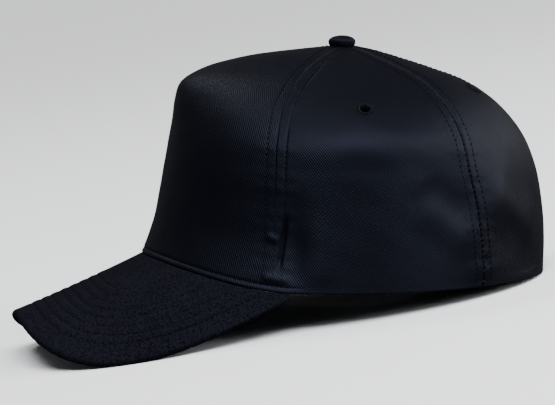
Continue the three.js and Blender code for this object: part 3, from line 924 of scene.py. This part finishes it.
# Outer and inner points of a panel in the worn frame, and their place on the flat cloth
def panelSurfaces(start, end):
    angle, row, aside = panelSteps(start, end)
    bare = crownSurface(angle, row)
    normals = gridNormals(bare)
    climb = gridLengths(bare, 0)
    fromStart = aside[..., 0]
    fromEnd = aside[..., 1] - fromStart
    edge = np.minimum(fromStart, fromEnd)
    seam = np.where(fromStart < fromEnd, start, end)

    stitch = panel["stitchAside"]
    between = hump(edge, panel["puffCentre"] * stitch, panel["puffWidth"] * stitch)
    beyond = hump(edge, panel["beyondCentre"] * stitch, panel["beyondWidth"] * stitch)
    held = smoothStep(climb, *panel["seamHeld"])
    pucker = seamPucker(np.radians(seam), climb) * (between + panel["beyondShare"] * beyond)
    shared = clothRipple(bare) * smoothStep(climb, *panel["rippleHeld"]) + held * pucker
    shared = shared + foldLift(bare) * smoothStep(climb, *panel["foldHeld"])

    nearStart = fromStart < fromEnd
    reach = np.hypot(bare[..., 0], bare[..., 1])
    pressed = zip(*(seamPress(side, (start + end) / 2, climb, reach) for side in (start, end)))
    seamDepth, seamWidth, edgeRound, rowDepth = [np.where(nearStart, *pair) for pair in pressed]
    sewnGroove = rowDepth * hump(edge, stitch, panel["stitchSoftness"])
    outer = shared - rounding(edge, edgeRound) - seamDepth * hump(edge, 0, seamWidth)
    outer = outer + held * (panel["seamPuff"] * between - sewnGroove)
    roll = panel["rollHeight"]
    sewn = 1 - smoothStep(np.abs(angle), *rimSewing["rollFade"])
    sewn = panel["plainRoll"] + (1 - panel["plainRoll"]) * sewn
    rollCentre = panel["rollCentre"] * roll
    crease = hump(climb, panel["creaseCentre"] * roll, panel["creaseWidth"] * roll)
    rolled = panel["rollOut"] * hump(climb, rollCentre, rollCentre) - panel["rollCrease"] * crease
    outer = outer + sewn * rolled
    outer = outer - rounding(climb, panel["edgeRounding"])

    softEdge = panel["edgeRounding"] / 2
    inner = shared + rounding(edge, softEdge) + rounding(climb, softEdge)
    allowanceEnd = panel["allowanceWidth"]
    allowance = 1 - smoothStep(edge, allowanceEnd - panel["allowanceEdge"], allowanceEnd)
    aboveBand = smoothStep(climb, panel["bandTop"], panel["bandTop"] + panel["bandFade"])
    inner = inner - panel["allowanceThickness"] * allowance * aboveBand
    inner = inner + 0.5 * sewnGroove * aboveBand

    outerPoints = bare + normals * outer[..., None]
    innerPoints = bare + normals * (inner - crown["cloth"])[..., None]
    flat = np.stack([fromStart - aside[..., 1] / 2, climb], -1)
    return {
        "outer": outerPoints,
        "inner": innerPoints,
        "normals": normals,
        "flat": flat,
        "edge": edge,
        "fromStart": fromStart,
        "fromEnd": fromEnd,
        "climb": climb,
    }


panels = {
    "front_panel": (-crown["frontSeam"], crown["frontSeam"]),
    "side_panel_left": (crown["frontSeam"], crown["backSeam"]),
    "side_panel_right": (-crown["backSeam"], -crown["frontSeam"]),
    "back_panel_left": (crown["backSeam"], 180),
    "back_panel_right": (-180, -crown["backSeam"]),
}

# Sewn eyelets: threads laid round a hole, over a low ring
eyelet = {
    "diameter": 0.0082,
    "holeDiameter": 0.005,
    "ridge": 0.0005,
    "threads": 24,
    "threadRadius": 0.00026,
    "threadReach": 0.93,  # the ring, painted dark, shows beyond the threads as a painted shadow outline
    "threadInset": 0.98,
    "archSteps": 8,
    "unevenness": 0.07,
    "seed": 7,
    "ringSteps": 13,
    "ringSink": 0.0001,  # how far the ring's upper side starts below the cloth's face
    "ringDrop": 0.0002,
    "waistGap": 0.0002,
    "cutRadius": 0.003,
    "cutDepth": 0.012,
    "segments": 48,
}
# Steps over which the cloth's slope is measured where an eyelet sits
seatStep = {"angle": 1, "row": 0.05, "samples": 2001}
eyelets = {
    "side_eyelet_left": {"panel": "side_panel_left", "angle": 87.6, "level": 0.75},
    "side_eyelet_right": {"panel": "side_panel_right", "angle": -87.6, "level": 0.75},
    "back_eyelet_left": {"panel": "back_panel_left", "angle": 153, "level": 0.811},
    "back_eyelet_right": {"panel": "back_panel_right", "angle": -153, "level": 0.811},
}


def eyeletSeat(angle, level):
    row = rowAtLevel(level, seatStep["samples"])
    steps = np.array([-1, 0, 1])
    points = crownSurface(angle + seatStep["angle"] * steps[None], row + seatStep["row"] * steps[:, None])
    normal = Vector(turnToRest(gridNormals(points)[1, 1]))
    place = Vector(toRest(points[1, 1])) - normal * (crown["cloth"] / 2)
    return Matrix.Translation(place) @ normal.to_track_quat("Z", "Y").to_matrix().to_4x4()


def cutEyeletHole(piece, seat):
    mesh = bpy.data.meshes.new("holeCutter")
    shape = bmesh.new()
    bmesh.ops.create_cone(
        shape,
        cap_ends=True,
        segments=eyelet["segments"],
        radius1=eyelet["cutRadius"],
        radius2=eyelet["cutRadius"],
        depth=eyelet["cutDepth"],
    )
    shape.to_mesh(mesh)
    shape.free()
    mesh.transform(seat)
    cutter = bpy.data.objects.new("holeCutter", mesh)
    bpy.context.scene.collection.objects.link(cutter)
    cut = piece.modifiers.new("hole", "BOOLEAN")
    cut.operation = "DIFFERENCE"
    cut.solver = "MANIFOLD"  # the exact solver leaves one hole plugged
    cut.object = cutter
    evaluatedMesh(piece, piece.data.name)
    bpy.data.objects.remove(cutter)
    bpy.data.meshes.remove(mesh)


panelShapes = {}
for node, (start, end) in panels.items():
    shape = panelSurfaces(start, end)
    panelShapes[node] = shape
    outer, inner = toRest(shape["outer"]), toRest(shape["inner"])
    piece = addPiece(shellMesh(pieceName(node), outer, inner, shape["flat"]), crownTwill)
    for seatOf in eyelets.values():
        if seatOf["panel"] == node:
            cutEyeletHole(piece, eyeletSeat(seatOf["angle"], seatOf["level"]))
    finishPiece(piece, [node])
print("crown panels made")


# Point read from a line of points at one value of a measure along them
def pointAt(value, measure, points):
    return [np.interp(value, measure, points[:, k]) for k in range(3)]


# Path at the rows' distance from one seam, from the rim up to the button
def rowAlongSeam(shape, side, inside=False):
    aside = panel["stitchAside"]
    distance = shape[side]
    grid = shape["inner" if inside else "outer"]
    lowest = panel["bandTop"] if inside else panel["firstStitch"]
    points, normals = [], []
    for j in range(distance.shape[0]):
        if distance[j].max() < panel["narrowest"] * aside:
            break
        order = np.argsort(distance[j])
        place = distance[j][order]
        if np.interp(aside, place, shape["climb"][j][order]) < lowest:
            continue
        point = pointAt(aside, place, grid[j][order])
        if math.hypot(point[0], point[1]) < panel["rowsEnd"]:
            break
        points.append(point)
        normals.append(pointAt(aside, place, shape["normals"][j][order]))
    return threadPath(np.array(points), np.array(normals) * (-1 if inside else 1))


seamRows = []
for shape in panelShapes.values():
    for side in ("fromStart", "fromEnd"):
        seamRows.append(rowAlongSeam(shape, side))
        seamRows.append(rowAlongSeam(shape, side, inside=True))
sewRows("crownStitches", seamRows, stitching)


def rimRow():
    points, normals = [], []
    for node in ("side_panel_right", "front_panel", "side_panel_left"):
        shape = panelShapes[node]
        for i in range(shape["outer"].shape[1]):
            height, climb = rimSewing["height"], shape["climb"][:, i]
            point = pointAt(height, climb, shape["outer"][:, i])
            turn = math.degrees(math.atan2(point[0] / crown["width"], -point[1] / crown["length"]))
            if abs(turn) <= rimSewing["reach"] and shape["edge"][2, i] > rimSewing["seamGap"]:
                points.append(point)
                normals.append(pointAt(height, climb, shape["normals"][:, i]))
    return threadPath(np.array(points), np.array(normals))


sewRows("rimStitches", [rimRow()], {**stitching, "length": rimSewing["length"]})
print("crown sewn")

# Peak


def peakOutline(swing):
    power = 2 / peak["roundness"]
    halfPattern = peakEndRadius * math.radians(peak["endSteepness"]) + peak["endWidth"]
    across = halfPattern * np.sign(swing) * np.abs(np.sin(swing)) ** power
    forward = peakPattern * np.maximum(np.cos(swing), 0) ** power
    return np.stack([across, forward], -1)


def evenSwings(count):
    swing = np.linspace(-math.pi / 2, math.pi / 2, peak["swingSamples"])
    length = gridLengths(peakOutline(swing), 0)
    return np.interp(np.linspace(0, length[-1], count), length, swing)


def peakRowPlaces():
    return [peak["firstRow"] + k * peak["rowSpacing"] for k in range(peak["rowCount"])]


# Distance on the flat pattern from each point to the peak's outer edge
def edgeDistance(flat):
    outline = peakOutline(evenSwings(peak["edgeSamples"]))
    points = flat.reshape(-1, 2)
    parts = np.split(points, range(peak["measuredAtOnce"], len(points), peak["measuredAtOnce"]))
    nearest = [np.linalg.norm(part[:, None] - outline[None], axis=-1).min(axis=1) for part in parts]
    return np.concatenate(nearest).reshape(flat.shape[:-1])


# Sewn rows press the cloth in, and it swells a little between them
def peakRelief(distance):
    relief = np.zeros_like(distance)
    spacing = peak["rowSpacing"]
    for place in peakRowPlaces():
        relief -= peak["rowDepth"] * hump(distance, place, peak["rowSoftness"])
        relief += peak["puff"] * hump(distance, place + spacing / 2, peak["puffShare"] * spacing)
    return relief


def peakNormals(across, forward):
    step = 0.0005
    aside = peakSurface(across + step, forward) - peakSurface(across - step, forward)
    ahead = peakSurface(across, forward + step) - peakSurface(across, forward - step)
    normals = np.cross(ahead, aside)
    return normals / np.linalg.norm(normals, axis=-1, keepdims=True)


def peakThicknessAt(swing):
    toEnd = smoothStep(np.abs(swing) / (math.pi / 2), 1 - peak["taperShare"], 1)
    return peak["thickness"] + (peak["endThickness"] - peak["thickness"]) * toEnd


def edgeTaper(distance):
    return peak["edgeShare"] + (1 - peak["edgeShare"]) * smoothStep(distance, 0, peak["edgeTaper"])


def makePeak():
    swing = evenSwings(peak["columns"])
    angle = swing / (math.pi / 2) * peak["endAngle"]
    seatX, seatY = rimPlace(angle)
    innerForward = peakEndY - seatY
    innerRadius = peakRadius(innerForward)
    innerAcross = innerRadius * np.arcsin(seatX / innerRadius)
    inner = np.stack([innerAcross, innerForward], -1)
    outer = peakOutline(swing)
    fine = np.array(peak["fineRows"])
    shares = []
    for length in np.linalg.norm(outer - inner, axis=-1):
        close = np.minimum(fine, length * np.linspace(0, 0.3, len(fine)))
        even = np.linspace(length, close[-1], peak["rows"])[:-1]
        shares.append(1 - np.concatenate([even, close[::-1]]) / length)
    share = np.array(shares).T[..., None]
    flat = inner[None] + (outer - inner)[None] * share
    across, forward = flat[..., 0], flat[..., 1]
    points = peakSurface(across, forward)
    normals = peakNormals(across, forward)
    distance = edgeDistance(flat)
    thickness = peakThicknessAt(swing) * edgeTaper(distance)
    topRound = thickness * peak["topRounding"]
    underRound = thickness - topRound
    fade = smoothStep(share[..., 0], *peak["rowFade"])
    relief = peakRelief(distance) * fade
    top = relief - rounding(distance, topRound)
    under = rounding(distance, underRound) - thickness - relief * peak["underShare"]
    topPoints = points + normals * top[..., None]
    underPoints = points + normals * under[..., None]

    # the inner edge goes on level under the crown's wall
    rimTurn = np.radians(angle)
    away = np.stack([np.sin(rimTurn) / crown["width"], -np.cos(rimTurn) / crown["length"]], -1)
    away /= np.linalg.norm(away, axis=-1, keepdims=True)
    tuck = np.concatenate([-away * peak["tuck"], np.zeros((len(away), 1))], axis=1)
    topPoints = np.concatenate([(topPoints[0] + tuck)[None], topPoints])
    underPoints = np.concatenate([(underPoints[0] + tuck)[None], underPoints])
    flat = np.concatenate([(flat[0] - away * peak["tuck"])[None], flat])
    mesh = shellMesh("peakCloth", toRest(underPoints), toRest(topPoints), flat)
    piece = addPiece(mesh, peakTwill)
    finishPiece(piece, ["peak"])


def peakRows(under=False):
    rows = []
    outlineSwing = evenSwings(peak["rowSamples"])
    outline = peakOutline(outlineSwing)
    along = np.gradient(outline, axis=0)
    inward = np.stack([along[:, 1], -along[:, 0]], -1)
    inward /= np.linalg.norm(inward, axis=-1, keepdims=True)
    inward *= -np.sign(inward[len(inward) // 2, 1])  # toward the crown
    for place in peakRowPlaces():
        flat = outline + inward * place
        across, forward = flat[:, 0], flat[:, 1]
        clear = edgeDistance(flat) > place - peak["rowCrossing"]
        world = peakSurface(across, forward)
        fromCrown = np.hypot(world[:, 0] / crown["width"], world[:, 1] / crown["length"]) - 0.5
        keep = clear & (fromCrown > peak["rowClearance"] / crown["width"]) & (forward > 0)
        across, forward, world = across[keep], forward[keep], world[keep]
        normals = peakNormals(across, forward)
        relief = peakRelief(np.full(len(across), place))
        if under:
            thickness = peakThicknessAt(outlineSwing[keep]) * edgeTaper(place)
            lift, normals = thickness + relief * peak["underShare"], -normals
        else:
            lift = relief
        rows.append(threadPath(world + normals * lift[:, None], normals))
    return rows


peakSewing = {"radius": 0.00015, "crest": 0.0001}
makePeak()
sewRows("peakStitches", peakRows() + peakRows(under=True), {**stitching, **peakSewing})
print("peak made and sewn")

# Button: cloth gathered over a flattened dome
button = {
    "diameter": 0.0132,
    "height": 0.0046,
    "belly": 0.38,
    "tuck": 0.8,
    "stemDiameter": 0.0034,
    "stemLength": 0.004,
    "sink": 0.0007,  # the button is pulled down into the cloth
    "gathers": 22,
    "gatherDepth": 0.00012,
    "gatherWidth": 0.0009,
    "gatherPlace": 0.6,  # share of the height of its widest part
    "underRows": 7,
    "overRows": 22,
    "segments": 96,
    "fallSamples": 300,
    "pole": 0.00001,  # radius at which its top and bottom are closed
}


# How far the crown has fallen below its top at each place near it
def crownFall(x, y):
    rows = topRows(button["fallSamples"])
    turns = np.degrees(np.arctan2(x / crown["width"], -y / crown["length"]))
    fall = np.zeros_like(turns)
    for i in range(turns.shape[1]):
        line = crownSurface(np.full(len(rows), turns[-1, i]), rows)[::-1]
        reach = np.hypot(line[:, 0], line[:, 1])
        fall[:, i] = np.interp(np.hypot(x[:, i], y[:, i]), reach, line[:, 2] - crown["height"])
    return fall


def makeButton():
    radius = button["diameter"] / 2
    stem = button["stemDiameter"] / 2
    belly = button["belly"] * button["height"]
    tuck = button["tuck"] * radius
    profile = [(button["pole"], -button["stemLength"]), (stem, -button["stemLength"]), (stem, 0)]
    for turn in np.linspace(-math.pi / 2, 0, button["underRows"]):
        profile.append((tuck + (radius - tuck) * math.cos(turn), belly + belly * math.sin(turn)))
    for turn in np.linspace(0, math.pi / 2, button["overRows"])[1:]:
        reach = max(radius * math.cos(turn), button["pole"])
        profile.append((reach, belly + (button["height"] - belly) * math.sin(turn)))
    reach, height = np.array(profile).T[..., None]
    turns = np.linspace(0, 2 * math.pi, button["segments"], endpoint=False)
    gather = np.cos(button["gathers"] * turns)[None]
    gather = gather * hump(height, button["gatherPlace"] * belly, button["gatherWidth"])
    gathered = reach + button["gatherDepth"] * gather * (reach > stem)
    reach = np.where(height > 0, gathered, reach)
    x, y = reach * np.cos(turns), reach * np.sin(turns)
    z = height + crown["height"] + crown["rimGap"] + 0 * turns
    z += (crownFall(x, y) - button["sink"]) * (1 - np.clip(height / belly, 0, 1))
    index = np.arange(x.size).reshape(x.shape)
    after = np.roll(index, -1, axis=1)
    faces = np.stack([index[:-1], after[:-1], after[1:], index[1:]], -1).reshape(-1, 4).tolist()
    faces += [index[0, ::-1].tolist(), index[-1].tolist()]
    flat = np.stack([x, y + belly - np.minimum(height, belly)], -1).reshape(-1, 2)
    mesh = buildMesh("buttonCover", toRest(np.stack([x, y, z], -1)), faces, flat)
    finishPiece(addPiece(mesh, buttonTwill), ["button"])


makeButton()
print("button made")


# Threads laid side by side over the ring, from its outer edge down into the hole
def makeEyeletTree():
    sizes = ("Thread radius", "Outer radius", "Hole radius", "Ridge", "Depth")
    floats = {label: "Float" for label in sizes}
    inputs = {"Threads": "Int", **floats, "Thread": "Material", "Ring": "Material"}
    tree, given = newTree("eyeletThreads", inputs)
    face = times(tree, given["Depth"], 0.5)
    crest = plus(tree, face, times(tree, given["Ridge"], 2))
    inside = times(tree, given["Hole radius"], eyelet["threadInset"])
    arch = addNode(tree, "GeometryNodeCurvePrimitiveBezierSegment", {
        "Resolution": eyelet["archSteps"],
        "Start": addPoint(tree, given["Outer radius"], face),
        "Start Handle": addPoint(tree, given["Outer radius"], crest),
        "End Handle": addPoint(tree, inside, crest),
        "End": addPoint(tree, inside, times(tree, given["Depth"], -0.5)),
    }, mode="POSITION")
    thread = addThread(tree, arch.outputs[0], given["Thread radius"])

    spots = addNode(tree, "GeometryNodePoints", {"Count": given["Threads"]})
    number = addNode(tree, "GeometryNodeInputIndex").outputs[0]
    share = addMath(tree, "DIVIDE", number, given["Threads"])
    turn = addNode(tree, "ShaderNodeCombineXYZ", {"Z": times(tree, share, 2 * math.pi)})
    rotation = addNode(tree, "FunctionNodeEulerToRotation", {0: turn.outputs[0]})
    size = randomSize(tree, 1 - eyelet["unevenness"], 1 + eyelet["unevenness"], eyelet["seed"])
    threads = layThreads(tree, spots.outputs[0], thread, rotation.outputs[0], size)
    joined = addNode(tree, "GeometryNodeJoinGeometry", {0: threads})
    feed(tree, joined.inputs[0], given["Geometry"])
    underRing = addNode(tree, "GeometryNodeInputNamedAttribute", {"Name": "underRing"}, data_type="BOOLEAN")
    finish = addNode(tree, "GeometryNodeSetMaterial", {
        "Geometry": addSmoothThread(tree, joined.outputs[0], given["Thread"]),
        "Selection": underRing.outputs["Attribute"],
        "Material": given["Ring"],
    })
    addNode(tree, "NodeGroupOutput", {0: finish.outputs[0]})
    return tree


# The low ring under the threads, on both faces of the cloth. It takes the dark thread, painted shadow in
# the gaps between the threads and round their outer edge.
def eyeletRing():
    hole = eyelet["holeDiameter"] / 2
    spread = (eyelet["diameter"] / 2 - hole) / 2
    over = crown["cloth"] / 2 - eyelet["ringSink"]
    under = -crown["cloth"] / 2 - eyelet["ringDrop"]
    profile = []
    for start, level in ((0, over), (math.pi, under)):
        for turn in np.linspace(start, start + math.pi, eyelet["ringSteps"]):
            reach = hole + spread + spread * math.cos(turn)
            profile.append((reach, level + eyelet["ridge"] * math.sin(turn)))
    waist = eyelet["cutRadius"] - eyelet["waistGap"]
    reach, height = np.array(profile + [(waist, under), (waist, over)]).T[..., None]
    turns = np.linspace(0, 2 * math.pi, eyelet["segments"], endpoint=False)
    points = np.stack([reach * np.cos(turns), reach * np.sin(turns), height + 0 * turns], -1)
    index = np.arange(points.shape[0] * points.shape[1]).reshape(points.shape[:2])
    after = np.roll(index, -1, axis=0)
    faces = np.stack([index, np.roll(index, -1, axis=1), np.roll(after, -1, axis=1), after], -1)
    mesh = buildMesh("eyeletRing", points, faces.reshape(-1, 4).tolist())
    shape = bmesh.new()
    shape.from_mesh(mesh)
    bmesh.ops.recalc_face_normals(shape, faces=shape.faces)
    shape.to_mesh(mesh)
    shape.free()
    mark = mesh.attributes.new("underRing", "BOOLEAN", "FACE")
    mark.data.foreach_set("value", [True] * len(mesh.polygons))
    return mesh


eyeletTree = makeEyeletTree()
for node, seatOf in eyelets.items():
    piece = addPiece(eyeletRing(), eyeletThreadPaintedLight)
    mesh = runTree(piece, pieceName(node), eyeletTree, {
        "Threads": eyelet["threads"],
        "Thread radius": eyelet["threadRadius"],
        "Outer radius": eyelet["diameter"] / 2 * eyelet["threadReach"],
        "Hole radius": eyelet["holeDiameter"] / 2,
        "Ridge": eyelet["ridge"] + eyelet["ringSink"],
        "Depth": crown["cloth"],
        "Thread": eyeletThreadPaintedLight,
        # the ring's dark thread is painted shade: shadow between the eyelet threads and round them
        "Ring": paintedShadeThread,
    })
    mesh.transform(eyeletSeat(seatOf["angle"], seatOf["level"]))
    finishPiece(piece, [node])
print("eyelets sewn")

# Sweatband
band = {
    "width": 0.032,
    "thickness": 0.0015,
    "lift": 0.003,
    "ripple": 0.00012,
    "waves": 9,
    "waveLean": 3,
    "stitchInset": 0.0025,
    "stitchDepth": 0.0003,
    "stitchSoftness": 0.0007,
    "topRow": 5,  # crown section that lies above the band
    "samples": 400,
    "angleStep": 1.0,
    "rowStep": 0.0011,
}


def makeSweatband():
    angles = np.arange(-180, 180, band["angleStep"])
    rows = np.linspace(0, band["topRow"], band["samples"])
    angleGrid, rowGrid = np.meshgrid(angles, rows)
    climb = gridLengths(crownSurface(angleGrid, rowGrid), 0)
    count = int(band["width"] / band["rowStep"])
    heights = band["lift"] + band["width"] * (1 - np.cos(np.linspace(0, math.pi, count))) / 2
    rowOf = np.stack([np.interp(heights, climb[:, i], rows) for i in range(len(angles))], -1)
    angleOf = np.repeat(angles[None], len(heights), 0)
    wall = crownSurface(angleOf, rowOf)
    wrapped = np.concatenate([wall[:, -1:], wall, wall[:, :1]], axis=1)
    normals = gridNormals(wrapped)[:, 1:-1]
    share = (heights - band["lift"])[:, None] / band["width"]
    edge = np.minimum(share, 1 - share) * band["width"] + np.zeros_like(rowOf)
    half = band["thickness"] / 2
    drop = rounding(edge, half)
    wave = np.sin(np.radians(angleOf) * band["waves"] + band["waveLean"] * share)
    wave = band["ripple"] * wave * share
    press = band["stitchDepth"] * hump(edge, band["stitchInset"], band["stitchSoftness"])
    back = crown["cloth"] + crown["rimGap"]
    outer = -(back + drop)
    inner = -(back + band["thickness"] - drop - press) + np.minimum(wave, 0)
    flatAcross = gridLengths(wall, 1)
    flat = np.stack([flatAcross, heights[:, None] + 0 * flatAcross], -1)
    outerPoints = wall + normals * outer[..., None]
    innerPoints = wall + normals * inner[..., None]
    mesh = shellMesh("sweatbandCloth", toRest(outerPoints), toRest(innerPoints), flat, closed=True)
    finishPiece(addPiece(mesh, bandCotton), ["sweatband"])
    rows = []
    for inset in (band["stitchInset"], band["width"] - band["stitchInset"]):
        j = int(np.argmin(np.abs(heights - band["lift"] - inset)))
        line = np.concatenate([innerPoints[j], innerPoints[j][:1]])
        facing = -np.concatenate([normals[j], normals[j][:1]])
        rows.append(threadPath(line, facing))
    sewRows("sweatbandStitches", rows, stitching)


makeSweatband()
print("sweatband made")

# Stage and light
stage = {
    "floorSize": 60,
    "floorColour": (0.9, 0.905, 0.91),
    "floorRoughness": 0.9,
    "floorGloss": 0.1,
    "worldColour": (0.9, 0.94, 1.0),
    "worldStrength": 0.14,
}
lampAim = Vector((0, 0.02, 0.06))
sun = {"azimuth": 84, "elevation": 54, "strength": 3.9, "spread": 35}
softboxDistance = 1.6
softboxColour = (0.95, 0.97, 1)
softboxes = {
    "azimuth": [101, 146, 152, 195, -48],
    "elevation": [38, 11, 27, 14, 60],
    "width": [0.9, 0.5, 0.9, 0.6, 0.8],
    "height": [0.5, 0.3, 0.6, 0.5, 0.5],
    "power": [20, 8, 14.5, 7, 10],
}


def makeFloor():
    half = stage["floorSize"] / 2
    corners = np.array([(-half, -half, 0), (half, -half, 0), (half, half, 0), (-half, half, 0)])
    material, tree, shader = newMaterial("floorPaint")
    shader["Base Color"].default_value = (*stage["floorColour"], 1)
    shader["Roughness"].default_value = stage["floorRoughness"]
    shader["Specular IOR Level"].default_value = stage["floorGloss"]
    floor = addPiece(buildMesh("floor", corners, [(0, 1, 2, 3)]), material)
    floor.visible_glossy = False
    floor.visible_diffuse = False


def makeWorld():
    world = bpy.data.worlds.new("studio")
    world.use_nodes = True
    light = world.node_tree.nodes["Background"]
    light.inputs["Color"].default_value = (*stage["worldColour"], 1)
    light.inputs["Strength"].default_value = stage["worldStrength"]
    bpy.context.scene.world = world


# A lamp that shines on the cap from the given side
def addLamp(name, kind, azimuth, elevation, distance=0):
    away = direction(azimuth, elevation)
    lamp = bpy.data.objects.new(name, bpy.data.lights.new(name, kind))
    lamp.location = lampAim + away * distance
    lamp.rotation_mode = "QUATERNION"
    lamp.rotation_quaternion = away.to_track_quat("Z", "Y")
    bpy.context.scene.collection.objects.link(lamp)
    return lamp.data


def makeLamps():
    key = addLamp("key", "SUN", sun["azimuth"], sun["elevation"])
    key.energy = sun["strength"]
    key.angle = math.radians(sun["spread"])
    for number, (azimuth, elevation, width, height, power) in enumerate(zip(*softboxes.values())):
        box = addLamp(f"softbox{number + 1}", "AREA", azimuth, elevation, softboxDistance)
        box.shape = "RECTANGLE"
        box.size, box.size_y = width, height
        box.energy = power
        box.color = softboxColour


makeFloor()
makeWorld()
makeLamps()
print("stage lit")
